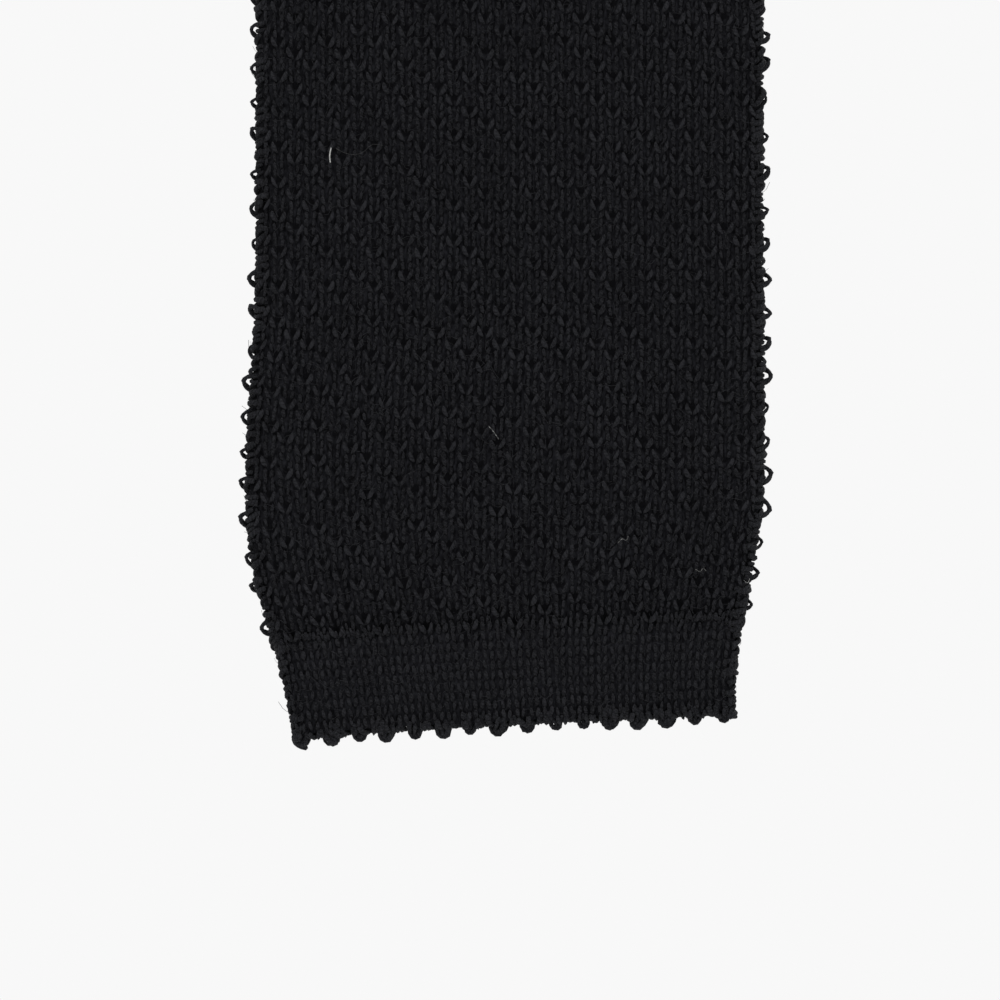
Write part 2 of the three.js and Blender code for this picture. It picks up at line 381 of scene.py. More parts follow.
def yarn_material(name, dark, light, turns, strand_shade):
    """Matt yarn of two strands, with painted shade in the hollows between them and painted light on their
    crowns, and lighter or darker by the tone of each stitch.
    """
    material, tree, shader = new_material(name, 0.95, 0.02, 0.08)
    where = node(tree, "ShaderNodeTexCoord").outputs["Object"]
    specks = noise(tree, where, speck_grain, 3.0)
    patches = noise(tree, where, patch_grain, 1.0)
    tone_and_painted_light = node(tree, "ShaderNodeAttribute", attribute_name="tone_and_painted_light").outputs["Fac"]
    around, along = map_axes(tree, "yarn")
    turn = sums(tree, "MULTIPLY_ADD", along, turns, around)
    strand = sums(tree, "SINE", sums(tree, "MULTIPLY", turn, 4 * math.pi))
    lie = xyz(tree, sums(tree, "MULTIPLY", turn, lie_round), sums(tree, "MULTIPLY", along, lie_along),
              sums(tree, "MULTIPLY", tone_and_painted_light, lie_by_tone))
    fibres = noise(tree, lie, 1.0, 2.0)
    shade = uneven(tree, tone_and_painted_light, specks, speck_share)
    shade = uneven(tree, shade, fibres, fibre_share)
    shade = uneven(tree, shade, patches, patch_share)
    # Painted shade in the groove between the two strands and painted light on their crowns, by
    # strand_shade.
    shade = sums(tree, "MULTIPLY_ADD", strand, strand_shade, shade)
    shade_between(tree, shader, shade, dark, light)
    height = sums(tree, "MULTIPLY_ADD", strand, 0.3, sums(tree, "ADD", fibres, specks))
    raise_fibres(tree, shader, height, 0.7, 0.12 * MM)
    return material


yarn = yarn_material("black knitting yarn", (0.0038, 0.0039, 0.0048), (0.0126, 0.0129, 0.015), 1.5, 0.3)


def leg_shape(name, sides_round, rings, bow):
    """One leg of a stitch, one unit long up Z, bowed towards +X, with a half thickness of one unit."""
    points, chart = [(0, 0, 0)], [(0.5, 0)]
    for t in (np.arange(rings) + 0.5) / rings:
        fat = math.sin(math.pi * (0.04 + 0.92 * t)) ** 0.75
        for k in range(sides_round):
            a = 2 * math.pi * (k + 0.5) / sides_round
            points.append((bow * math.sin(math.pi * t) + fat * math.cos(a), fat * math.sin(a), t))
            chart.append((k / sides_round, t))
    points.append((0, 0, 1))
    chart.append((0.5, 1))
    return yarn_shape(name, points, chart, [(1, rings, sides_round)])


def yarn_shape(name, points, chart, runs):
    """A mesh object of rings of points, each run of rings between two tips, with its map of the yarn."""
    faces = []
    for first, rings, around in runs:
        for k in range(around):
            n = (k + 1) % around
            faces.append((first - 1, first + n, first + k))
            for r in range(rings - 1):
                a, b = first + r * around + k, first + r * around + n
                faces.append((a, b, b + around, a + around))
            last = first + (rings - 1) * around
            faces.append((last + k, last + n, last + around))
    mesh = bpy.data.meshes.new(name)
    mesh.from_pydata([tuple(p) for p in points], [], faces)
    layer = mesh.uv_layers.new(name="yarn")
    for polygon in mesh.polygons:
        corners = [chart[mesh.loops[i].vertex_index] for i in polygon.loop_indices]
        wraps = max(c[0] for c in corners) - min(c[0] for c in corners) > 0.5
        for i, (around, along) in zip(polygon.loop_indices, corners):
            layer.data[i].uv = (around + (wraps and around < 0.5), along)
    mesh.polygons.foreach_set("use_smooth", [True] * len(mesh.polygons))
    return add_object(name, mesh)


# The legs named far have fewer faces: they are for all of the tie but the front of the blade's end.
raised_leg = leg_shape("raised leg", 8, 4, 0.5)
plain_leg = leg_shape("plain leg", 6, 2, 0.3)
far_raised_leg = leg_shape("far raised leg", 4, 2, 0.5)
far_plain_leg = leg_shape("far plain leg", 4, 1, 0.3)
shapes = [raised_leg, plain_leg, far_raised_leg, far_plain_leg]


def new_group(name, inputs):
    tree = bpy.data.node_groups.new(name, "GeometryNodeTree")
    tree.interface.new_socket("Geometry", in_out="INPUT", socket_type="NodeSocketGeometry")
    for label, kind, value in inputs:
        made = tree.interface.new_socket(label, in_out="INPUT", socket_type=f"NodeSocket{kind}")
        if value is not None:
            made.default_value = value
    tree.interface.new_socket("Geometry", in_out="OUTPUT", socket_type="NodeSocketGeometry")
    return tree, node(tree, "NodeGroupInput").outputs, node(tree, "NodeGroupOutput").inputs


def random_value(tree, low, high, seed):
    made = node(tree, "FunctionNodeRandomValue", data_type="FLOAT")
    feed(tree, made.inputs[2], low)
    feed(tree, made.inputs[3], high)
    feed(tree, made.inputs["Seed"], seed)
    return made.outputs[1]


def both(tree, first, second):
    made = node(tree, "FunctionNodeBooleanMath", operation="AND")
    feed(tree, made.inputs[0], first)
    feed(tree, made.inputs[1], second)
    return made.outputs[0]


def plant(tree, points, shape, settings):
    """Sets a copy of a shape on each point."""
    source = node(tree, "GeometryNodeObjectInfo")
    feed(tree, source.inputs["Object"], shape)
    made = node(tree, "GeometryNodeInstanceOnPoints")
    feed(tree, made.inputs["Points"], points)
    feed(tree, made.inputs["Instance"], source.outputs["Geometry"])
    for label, value in settings.items():
        feed(tree, made.inputs[label], value)
    return made.outputs[0]


def store_tone_and_painted_light(tree, geometry, value):
    """Gives each copy a tone of its own, which the material reads. For the lattice stitches this also holds
    painted light: the raised V's are given a higher value than the small stitches.
    """
    made = node(tree, "GeometryNodeStoreNamedAttribute", data_type="FLOAT", domain="INSTANCE")
    feed(tree, made.inputs["Geometry"], geometry)
    feed(tree, made.inputs["Name"], "tone_and_painted_light")
    feed(tree, made.inputs["Value"], value)
    return made.outputs[0]


# What a row of stitches is made from. Lengths are in millimetres, and what goes across is in wales.
row_inputs = [
    ("Leg", "Object", None), ("Wales", "Int", 30), ("First Wale", "Float", -14.5),
    ("Rows", "Int", 10), ("First Row", "Float", 0.0), ("Row Pitch", "Float", pattern_height),
    ("Wale Step", "Float", 0.0), ("From", "Float", 0.0), ("To", "Float", 100.0),
    ("Height", "Float", 1.2), ("Foot Spread", "Float", 0.1), ("Head Spread", "Float", 0.4),
    ("Foot Lift", "Float", 0.4), ("Head Lift", "Float", 0.4), ("Thickness", "Float", 0.55),
    ("Tone And Painted Light", "Float", 0.4), ("Uneven", "Float", 0.045), ("Seed", "Int", 1),
]
row_stray, tone_stray = 3.5, 0.26
thinnest, thickest = 0.78, 1.2


def rows_group():
    """Rows of stitches: two legs to a stitch, each set between the places of its foot and its head."""
    t, given, out = new_group("Rows of stitches", row_inputs)
    index = node(t, "GeometryNodeInputIndex").outputs[0]
    hand = sums(t, "MULTIPLY_ADD", sums(t, "MODULO", index, 2.0), 2.0, -1.0)
    stitch = sums(t, "FLOOR", sums(t, "DIVIDE", index, 2.0))
    wale = sums(t, "ADD", sums(t, "MODULO", stitch, given["Wales"]), given["First Wale"])
    row = sums(t, "FLOOR", sums(t, "DIVIDE", stitch, given["Wales"]))
    step = sums(t, "MULTIPLY", sums(t, "SUBTRACT", wale, 0.5), given["Wale Step"])
    step = sums(t, "FLOORED_MODULO", sums(t, "ADD", step, 0.01), given["Row Pitch"])
    height = sums(t, "SUBTRACT", sums(t, "MULTIPLY_ADD", row, given["Row Pitch"], given["First Row"]), step)
    wanted = both(t, sums(t, "GREATER_THAN", height, given["From"]),
                  sums(t, "LESS_THAN", height, given["To"]))
    seeds = [sums(t, "ADD", given["Seed"], 101.0 * k) for k in range(5)]
    stray = random_value(t, -row_stray, row_stray, seeds[0])
    foot_v = sums(t, "MULTIPLY_ADD", stray, given["Uneven"], height)
    middle = sums(t, "MULTIPLY_ADD", random_value(t, -1.0, 1.0, seeds[1]), given["Uneven"], wale)
    head_v = sums(t, "ADD", foot_v, given["Height"])
    foot_u = sums(t, "MULTIPLY_ADD", hand, given["Foot Spread"], middle)
    swing = sums(t, "MULTIPLY_ADD", random_value(t, -1.0, 1.0, seeds[4]), given["Uneven"], middle)
    head_u = sums(t, "MULTIPLY_ADD", hand, given["Head Spread"], swing)
    place = node(t, "GeometryNodeInputPosition").outputs[0]
    facing = node(t, "GeometryNodeInputNormal").outputs["Normal"]
    chart = node(t, "GeometryNodeInputNamedAttribute", data_type="FLOAT_VECTOR")
    feed(t, chart.inputs["Name"], "cloth")

    def at_cloth(value, u, v):
        spot = xyz(t, sums(t, "DIVIDE", u, map_wales), sums(t, "MULTIPLY", v, MM))
        made = node(t, "GeometryNodeSampleUVSurface", data_type="FLOAT_VECTOR")
        for socket, source in zip(made.inputs, (given["Geometry"], value, chart.outputs[0], spot)):
            feed(t, socket, source)
        return made.outputs["Value"], made.outputs["Is Valid"]

    foot, foot_there = at_cloth(place, foot_u, foot_v)
    head, head_there = at_cloth(place, head_u, head_v)
    up, _ = at_cloth(facing, foot_u, foot_v)
    foot = vectors(t, "ADD", foot, vectors(t, "SCALE", up, sums(t, "MULTIPLY", given["Foot Lift"], MM)))
    head = vectors(t, "ADD", head, vectors(t, "SCALE", up, sums(t, "MULTIPLY", given["Head Lift"], MM)))
    run = vectors(t, "SUBTRACT", head, foot)
    sideways = vectors(t, "SCALE", vectors(t, "CROSS_PRODUCT", run, up), hand)
    turned = node(t, "FunctionNodeAxesToRotation", primary_axis="Z", secondary_axis="X")
    feed(t, turned.inputs["Primary Axis"], run)
    feed(t, turned.inputs["Secondary Axis"], sideways)
    half = sums(t, "MULTIPLY", given["Thickness"], MM / 2)
    half = sums(t, "MULTIPLY", half, random_value(t, thinnest, thickest, seeds[2]))
    count = sums(t, "MULTIPLY", sums(t, "MULTIPLY", given["Wales"], given["Rows"]), 2.0)
    legs = node(t, "GeometryNodePoints")
    feed(t, legs.inputs["Count"], count)
    feed(t, legs.inputs["Position"], foot)
    planted = plant(t, legs.outputs[0], given["Leg"], {
        "Selection": both(t, both(t, foot_there, head_there), wanted), "Rotation": turned.outputs[0],
        "Scale": xyz(t, half, half, vectors(t, "LENGTH", run))})
    tone_and_painted_light = sums(t, "ADD", given["Tone And Painted Light"], random_value(t, -tone_stray, tone_stray, seeds[3]))
    feed(t, out["Geometry"], store_tone_and_painted_light(t, planted, tone_and_painted_light))
    return t


rows_tree = rows_group()


plain_rises = (1.22, 2.14, 3.06)


def lattice_group():
    """One V and three small stitches to each pattern height of a wale."""
    t, given, out = new_group("Lattice knit", [
        ("Raised Leg", "Object", None), ("Plain Leg", "Object", None), ("Wales", "Int", 32),
        ("First Wale", "Float", -15.5), ("Rows", "Int", 24), ("First Row", "Float", 0.0),
        ("Pattern Height", "Float", pattern_height), ("From", "Float", 0.0), ("To", "Float", 100.0),
        ("V Height", "Float", 1.36), ("V Spread", "Float", 0.43), ("Plain Height", "Float", 1.06),
        ("Yarn", "Float", 0.54), ("Seed", "Int", 7), ("Material", "Material", None)])
    joined = node(t, "GeometryNodeJoinGeometry")
    # The V's take a higher tone than the small stitches, though both are the one yarn: painted light on the     raised V's, and painted shade on the small stitches that lie lower between them.
    plain = {"Leg": given["Plain Leg"], "Height": given["Plain Height"], "Foot Spread": 0.15,
             "Head Spread": 0.25, "Foot Lift": 0.0, "Head Lift": 0.34, "Tone And Painted Light": 0.42,
             "Thickness": given["Yarn"]}
    wide = {"Leg": given["Raised Leg"], "Height": given["V Height"], "Foot Spread": 0.07,
            "Head Spread": given["V Spread"], "Foot Lift": 0.42, "Head Lift": 0.74, "Tone And Painted Light": 0.62,
            "Thickness": sums(t, "MULTIPLY", given["Yarn"], 1.02)}
    courses = [(0.0, wide)] + [(rise, plain) for rise in plain_rises]
    for number, (offset, kind) in enumerate(courses):
        made = node(t, "GeometryNodeGroup", node_tree=rows_tree)
        common = {name: given[name] for name in ("Geometry", "Wales", "First Wale", "Rows", "From", "To")}
        common["First Row"] = sums(t, "ADD", given["First Row"], offset)
        common["Row Pitch"] = given["Pattern Height"]
        common["Wale Step"] = sums(t, "DIVIDE", given["Pattern Height"], 3.0)
        common["Seed"] = sums(t, "ADD", given["Seed"], 17.0 * number)
        for name, value in (common | kind).items():
            feed(t, made.inputs[name], value)
        t.links.new(made.outputs[0], joined.inputs[0])
    finish_group(t, joined.outputs[0], given["Material"], out["Geometry"])
    return t


def finish_group(tree, geometry, material, out):
    real = node(tree, "GeometryNodeRealizeInstances")
    feed(tree, real.inputs["Geometry"], geometry)
    covered = node(tree, "GeometryNodeSetMaterial")
    feed(tree, covered.inputs["Geometry"], real.outputs[0])
    feed(tree, covered.inputs["Material"], material)
    feed(tree, out, covered.outputs[0])


def worked(source, tree, name, values):
    """Runs a node tree on an object and gives the plain result."""
    modifier = source.modifiers.new("work", "NODES")
    modifier.node_group = tree
    sockets = {item.name: item.identifier for item in tree.interface.items_tree
               if item.item_type == "SOCKET" and item.in_out == "INPUT"}
    for label, value in values.items():
        modifier[sockets[label]] = value
    return made_plain(source, name)


lattice_tree = lattice_group()
near_stretches = ("blade_end",)
spare_below, spare_above = 2 * MM, 3 * MM
lattice_overlap = 1 * MM


def lattice_ply(stretch, side_name, s0, s1, seed):
    near = stretch in near_stretches and side_name == "front"
    surface = cloth_surface("lattice", sides[side_name], s0 - spare_below, s1 + spare_above, edge_width,
                            3 * MM)
    half_wales = math.ceil(max(wales_across(np.array([s0, s1]))))
    first = math.floor(s0 / MM / pattern_height) * pattern_height
    stitches = worked(surface, lattice_tree, f"{stretch}_{side_name}_stitches", {
        "Raised Leg": raised_leg if near else far_raised_leg,
        "Plain Leg": plain_leg if near else far_plain_leg,
        "Wales": 2 * half_wales, "First Wale": 0.5 - half_wales, "First Row": first,
        "Rows": math.ceil((s1 - s0) / MM / pattern_height) + 3,
        "From": s0 / MM, "To": s1 / MM, "Seed": seed, "Material": yarn})
    return stitches


stitched = {}
for stretch, (s0, s1, *_) in stretches.items():
    low = hem_height - lattice_overlap if stretch == "blade_end" else s0
    high = tie_length - hem_height if stretch == "tail_end" else s1
    for side_name in sides:
        seed = 1000 * len(stitched)
        stitches = lattice_ply(stretch, side_name, low, high, seed)
        hang(stitches, stretch)
        stitched[stretch, side_name] = [stitches]


# ---- The hems -----------------------------------------------------------------------------------------
# Each end is turned up and finished in fine plain knitting, half an inch deep. Its small stitches are
# closer together than those of the lattice, and they pull the end of the tie in.
course_pitch = 1.176
hem_wale = 1.65 * MM
hem_inset = 0.55 * MM
hem_ground_inset = hem_inset + 0.4 * MM
hem_ground_gap = 0.9 * MM


def plain_group():
    t, given, out = new_group("Plain knit", [
        ("Leg", "Object", None), ("Wales", "Int", 32), ("First Wale", "Float", -15.5), ("Rows", "Int", 11),
        ("First Row", "Float", 0.0), ("Course Pitch", "Float", course_pitch), ("From", "Float", 0.0),
        ("To", "Float", 100.0), ("Yarn", "Float", 0.52), ("Seed", "Int", 3),
        ("Material", "Material", None)])
    made = node(t, "GeometryNodeGroup", node_tree=rows_tree)
    values = {name: given[name] for name in
              ("Geometry", "Leg", "Wales", "First Wale", "Rows", "First Row", "From", "To", "Seed")}
    values |= {"Row Pitch": given["Course Pitch"], "Wale Step": 0.0, "Foot Spread": 0.16,
               "Height": given["Course Pitch"], "Head Spread": 0.28, "Foot Lift": -0.05,
               "Head Lift": 0.5, "Thickness": given["Yarn"], "Tone And Painted Light": 0.5, "Uneven": 0.045}
    for name, value in values.items():
        feed(t, made.inputs[name], value)
    finish_group(t, made.outputs[0], given["Material"], out["Geometry"])
    return t


plain_tree = plain_group()
hem_leg = leg_shape("hem leg", 6, 3, 0.15)
shapes.append(hem_leg)
picot_depth = 0.45 * MM
hem_ends = {
    "blade": ("blade_end", picot_depth, hem_height),
    "tail": ("tail_end", tie_length - hem_height, tie_length - picot_depth),
}
hems = {}
for end, (body, s0, s1) in hem_ends.items():
    widest = blade_end_half if end == "blade" else tail_end_half
    hem_wales = round((widest - hem_inset) / hem_wale)
    for side_name, side in sides.items():
        low = s0 + hem_ground_gap if end == "blade" else s0
        high = s1 if end == "blade" else s1 - hem_ground_gap
        band = ground_cloth(f"{end}_hem_{side_name}_cloth", side, low, high, hem_ground_inset,
                            hem_hollow_yarn)
        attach(band, body)
        surface = cloth_surface("hem", side, s0, s1 + 1 * MM, hem_inset, 2 * MM,
                                wales=lambda s: hem_wales + 0 * s)
        stitches = worked(surface, plain_tree, f"{end}_hem_{side_name}_stitches", {
            "Leg": hem_leg, "Wales": 2 * hem_wales, "First Wale": 0.5 - hem_wales, "First Row": s0 / MM,
            "Rows": round((s1 - s0) / MM / course_pitch) + 1, "From": s0 / MM - 0.5, "To": s1 / MM - 0.3,
            "Seed": 5 + side, "Material": yarn})
        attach(stitches, body)
        hems[end, side_name] = [band, stitches]
        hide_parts(f"{end}_hem_{side_name}_band")


# ---- The edges ----------------------------------------------------------------------------------------
# Where the two plies meet, the yarn passes round from one to the other. At every pattern height a slack
# loop stands out from the edge. A hem has no loops at its sides, only the yarn that passes round.
def tube_points(strands, around):
    """Rings of points round strands of yarn. A strand is a list of (x, y, z, half thickness)."""
    points, chart, runs = [], [], []
    for strand in strands:
        strand = np.array(strand, float)
        middle, fat = strand[:, :3], strand[:, 3]
        run = np.gradient(middle, axis=0)
        run /= np.linalg.norm(run, axis=1)[:, None]
        along = np.concatenate([[0], np.cumsum(np.linalg.norm(np.diff(middle, axis=0), axis=1))])
        side = np.cross(run[0], (0.3, 0.5, 0.8))
        points.append(middle[0] - run[0] * fat[0] * 0.6)
        chart.append((0.5, 0))
        runs.append((len(points), len(middle), around))
        for p, r, f, length in zip(middle, run, fat, along):
            side -= r * side.dot(r)
            side /= np.linalg.norm(side)
            other = np.cross(r, side)
            for k in range(around):
                a = 2 * math.pi * k / around
                points.append(p + f * (math.cos(a) * side + math.sin(a) * other))
                chart.append((k / around, length))
        points.append(middle[-1] + run[-1] * fat[-1] * 0.6)
        chart.append((0.5, along[-1]))
    return points, chart, runs


def curved(points, count):
    """A smooth line through a few points, as count points: a Catmull-Rom curve."""
    knots = np.array(points, float)
    knots = np.vstack([2 * knots[0] - knots[1], knots, 2 * knots[-1] - knots[-2]])
    at = np.linspace(0, len(points) - 1, count)
    k = np.minimum(at.astype(int), len(points) - 2)
    f = (at - k)[:, None]
    a, b, c, d = (knots[k + i] for i in range(4))
    return 0.5 * (2 * b + (c - a) * f + (2 * a - 5 * b + 4 * c - d) * f**2 + (3 * b - a - 3 * c + d) * f**3)


# The shapes below are in millimetres: X points out of the edge, Z along it, Y through the tie.
wrap_inside, wrap_out, wrap_reach, wrap_lag = -0.95, 0.9, 1.15, 0.5


def wrap_strand(count, half_thick):
    """The yarn that passes round the edge from the face to the back."""
    turn = np.linspace(-1, 1, count)
    out = wrap_inside + wrap_out * np.cos(turn * math.pi / 2) ** 0.6
    through = wrap_reach * np.sin(turn * math.pi / 2)
    return np.stack([out, through, wrap_lag * turn, 0 * turn + half_thick], axis=1)


loop_knots = [(-0.7, -0.5, -0.9), (-0.05, -0.45, -0.78), (0.52, -0.2, -0.4), (0.7, 0.0, 0.1),
              (0.5, 0.2, 0.5), (-0.05, 0.45, 0.74), (-0.7, 0.5, 0.85)]
slack_knots = [(-0.7, -0.7, -0.6), (0.0, -0.55, -0.55), (0.42, -0.3, -0.2), (0.8, -0.1, 0.25),
               (0.35, 0.3, 0.6), (-0.7, 0.6, 0.6)]


def curved_strand(knots, count, half_thick):
    return np.column_stack([curved(knots, count), np.full(count, half_thick)])


near_strands = [curved_strand(loop_knots, 13, 0.21), curved_strand(slack_knots, 11, 0.18)]
near_wrap = yarn_shape("near wrap", *tube_points([wrap_strand(9, 0.28)], 6))
far_wrap = yarn_shape("far wrap", *tube_points([wrap_strand(5, 0.36)], 4))
near_loop = yarn_shape("near loop", *tube_points(near_strands, 5))
far_loop = yarn_shape("far loop", *tube_points([curved_strand(loop_knots, 7, 0.23)], 4))
shapes += [near_wrap, far_wrap, near_loop, far_loop]


def edging_group():
    """Sets wraps and loops on the points of a line: 1 in the attribute kind is a wrap, and 2 a loop."""
    t, given, out = new_group("Edging", [
        ("Wrap", "Object", None), ("Loop", "Object", None), ("Wrap Size", "Float", 1.0),
        ("Loop Size", "Float", 1.0), ("Uneven Size", "Float", 0.12), ("Uneven Turn", "Float", 0.2),
        ("Seed", "Int", 11), ("Material", "Material", None)])

    def attribute(name, kind="FLOAT_VECTOR"):
        made = node(t, "GeometryNodeInputNamedAttribute", data_type=kind)
        feed(t, made.inputs["Name"], name)
        return made.outputs[0]

    def kind_is(operation, value):
        made = node(t, "FunctionNodeCompare", data_type="FLOAT", operation=operation)
        feed(t, made.inputs[0], attribute("kind", "FLOAT"))
        made.inputs[1].default_value = value
        return made.outputs[0]

    joined = node(t, "GeometryNodeJoinGeometry")
    straight = node(t, "FunctionNodeAxesToRotation", primary_axis="Z", secondary_axis="X")
    feed(t, straight.inputs["Primary Axis"], attribute("onward"))
    feed(t, straight.inputs["Secondary Axis"], attribute("outward"))
    for number, shape in ((1.0, "Wrap"), (2.0, "Loop")):
        seeds = [sums(t, "ADD", given["Seed"], 31.0 * number + k) for k in range(5)]
        twist = [sums(t, "MULTIPLY", random_value(t, -1.0, 1.0, seed), given["Uneven Turn"])
                 for seed in seeds[:3]]
        euler = node(t, "FunctionNodeEulerToRotation")
        feed(t, euler.inputs[0], xyz(t, *twist))
        turned = node(t, "FunctionNodeRotateRotation", rotation_space="LOCAL")
        feed(t, turned.inputs[0], straight.outputs[0])
        feed(t, turned.inputs[1], euler.outputs[0])
        spread = sums(t, "MULTIPLY", random_value(t, -1.0, 1.0, seeds[3]), given["Uneven Size"])
        size = sums(t, "MULTIPLY", given[f"{shape} Size"], MM)
        planted = plant(t, given["Geometry"], given[shape], {
            "Selection": kind_is("EQUAL", number), "Rotation": turned.outputs[0],
            "Scale": sums(t, "MULTIPLY", sums(t, "ADD", spread, 1.0), size)})
        t.links.new(store_tone_and_painted_light(t, planted, random_value(t, 0.2, 0.5, seeds[4])), joined.inputs[0])
    core = node(t, "GeometryNodeDeleteGeometry", domain="POINT")
    feed(t, core.inputs["Geometry"], given["Geometry"])
    feed(t, core.inputs["Selection"], kind_is("GREATER_THAN", 0.5))
    t.links.new(core.outputs[0], joined.inputs[0])
    finish_group(t, joined.outputs[0], given["Material"], out["Geometry"])
    return t


edging_tree = edging_group()


def aim_points(mesh, kinds, onward, outward):
    """Stores at a mesh's points what is set there and which way it lies."""
    mesh.attributes.new("kind", "FLOAT", "POINT").data.foreach_set("value", kinds)
    mesh.attributes.new("onward", "FLOAT_VECTOR", "POINT").data.foreach_set("vector", onward.reshape(-1))
    mesh.attributes.new("outward", "FLOAT_VECTOR", "POINT").data.foreach_set("vector", outward.reshape(-1))


def edging(name, line, core, wraps, loops, outward, values):
    """A piece of edge. line(d) gives the point at d along it; core is a strand inside it, in metres."""
    base = yarn_shape(name + " core", *tube_points([core], 6))
    mesh = base.data
    count = len(mesh.vertices)
    places = np.concatenate([wraps, loops])
    points = line(places)
    mesh.vertices.add(len(places))
    every_point = np.array([v.co[:] for v in mesh.vertices[:count]] + points.tolist())
    mesh.vertices.foreach_set("co", every_point.reshape(-1))
    ahead = line(places + 0.5 * MM) - points
    kinds = np.concatenate([np.zeros(count), np.ones(len(wraps)), np.full(len(loops), 2.0)])
    onward = np.vstack([np.zeros((count, 3)), ahead / np.linalg.norm(ahead, axis=1)[:, None]])
    aim_points(mesh, kinds, onward, np.tile(np.array(outward, float), (count + len(places), 1)))
    piece = worked(base, edging_tree, name, values | {"Material": yarn})
    return piece


edge_base, plain_side_inset = 0.27 * MM, 0.2 * MM
core_inset, core_half, core_gap = 0.75 * MM, 0.62 * MM, 0.4 * MM
near_step, far_step = 1.5 * MM, 4 * MM
loop_phase, loop_stray = 1.9 * MM, 0.6
slack = np.random.default_rng(8)


def side_edge(name, hand, s0, s1, pitch, with_loops, near, seed):
    """The yarn down one side from s0 to s1: wraps of a pitch and, where the lattice is, slack loops."""
    inside = edge_base if with_loops else edge_base + plain_side_inset

    def line(s):
        return on_tie(s, hand * (half_width(s) - inside), 0)

    step = near_step if near else far_step
    stations = np.linspace(s0 + core_gap, s1 - core_gap, math.ceil((s1 - s0) / step) + 1)
    core = np.column_stack([on_tie(stations, hand * (half_width(stations) - inside - core_inset), 0),
                            np.full(len(stations), core_half)])
    wraps = np.arange(math.ceil(s0 / pitch), math.ceil(s1 / pitch)) * pitch
    gap = pattern_height * MM
    places = np.arange(math.ceil((s0 - loop_phase) / gap), math.ceil((s1 - loop_phase) / gap))
    loops = places * gap + loop_phase
    loops = loops + slack.uniform(-loop_stray, loop_stray, len(loops)) * MM
    loops = loops if with_loops else loops[:0]
    return edging(name, line, core, wraps, loops, (hand, 0, 0), {
        "Wrap": near_wrap if near else far_wrap, "Loop": near_loop if near else far_loop,
        "Uneven Size": 0.26, "Uneven Turn": 0.42, "Seed": seed})


hands = {"left": -1, "right": 1}
wrap_pitch = pattern_height / 6 * MM
edge_overlap = 0.8 * MM
for number, (stretch, (s0, s1, *_)) in enumerate(stretches.items()):
    low = hem_height - edge_overlap if stretch == "blade_end" else s0
    high = tie_length - hem_height + edge_overlap if stretch == "tail_end" else s1
    for hand_name, hand in hands.items():
        edge = side_edge(f"{stretch}_{hand_name}_edge_yarn", hand, low, high, wrap_pitch, True,
                         stretch in near_stretches, 60 + 7 * number + hand)
        hang(edge, stretch)
        stitched[stretch, "front"].append(edge)


# ---- The picots ---------------------------------------------------------------------------------------
# At the fold of each hem every second stitch is passed over its neighbour, which leaves a row of small
# round knots along the end of the tie.
picot_pitch, first_picot = 3.3 * MM, 0.15
fold_depth, picot_core_half = 0.52 * MM, 0.16 * MM
row_inset, row_spare = 1.0 * MM, 0.4 * MM
knot_strands = [
    [(-0.9, -0.5, -0.45), (0.2, -0.45, -0.68), (0.9, -0.25, -0.36), (0.95, -0.2, 0.3), (0.2, -0.3, 0.62),
     (-0.9, -0.5, 0.5)],
    [(-0.9, 0.5, -0.5), (0.35, 0.42, -0.52), (0.98, 0.22, 0.0), (0.6, 0.35, 0.55), (-0.2, 0.5, 0.7),
     (-0.9, 0.5, 0.4)],
    [(-0.8, -0.3, 0.6), (0.2, -0.55, 0.5), (0.75, -0.35, 0.1), (0.85, 0.2, -0.42), (0.1, 0.5, -0.6),
     (-0.8, 0.3, -0.4)],
    [(-0.5, -0.45, 0.0), (0.35, -0.5, -0.1), (0.8, 0.0, -0.2), (0.35, 0.5, 0.1), (-0.5, 0.4, 0.0)],
]
knot = yarn_shape("picot knot", *tube_points([curved_strand(knots, 9, 0.26) for knots in knot_strands], 5))
shapes.append(knot)
for end, (body, s0, s1) in hem_ends.items():
    fold_s = picot_depth + fold_depth if end == "blade" else tie_length - picot_depth - fold_depth
    reach = float(half_width(np.array(fold_s))) - row_inset

    def fold(u):
        return on_tie(fold_s, u, 0)

    stations = np.linspace(-reach, reach, 40)
    core = np.column_stack([fold(stations), np.full(len(stations), picot_core_half)])
    wraps = np.arange(-reach, reach + 0.1 * MM, hem_wale / 3)
    knots = (np.arange(math.floor(2 * reach / picot_pitch) + 1) + first_picot) * picot_pitch - reach
    row = edging(f"{end}_picots", fold, core, wraps, knots[knots < reach + row_spare], (0, 0, -1), {
        "Wrap": near_wrap, "Loop": knot, "Loop Size": 1.06, "Uneven Size": 0.18, "Uneven Turn": 0.4,
        "Seed": 41})
    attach(row, body)
    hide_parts(f"{end}_hem_picot_edge")
    hems[end, "front"].append(row)
    for hand_name, hand in hands.items():
        side_yarn = side_edge(f"{end}_hem_{hand_name}_side_yarn", hand, s0, s1, course_pitch / 2 * MM,
                              False, True, 90 + hand)
        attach(side_yarn, body)
        hems[end, "front"].append(side_yarn)


# ---- The stay tape ------------------------------------------------------------------------------------
# A woven ribbon lies inside the neck, between the plies, so that the knitting can't stretch there. It is
# caught by a few stitches at its two ends, and can't be seen in use.
tape_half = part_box("blade_stay_tape")[1].x
tape_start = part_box("blade_stay_tape")[0].z + blade_drop
tape_end = tail_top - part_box("tail_stay_tape")[0].z
tape_thick = 0.36 * MM


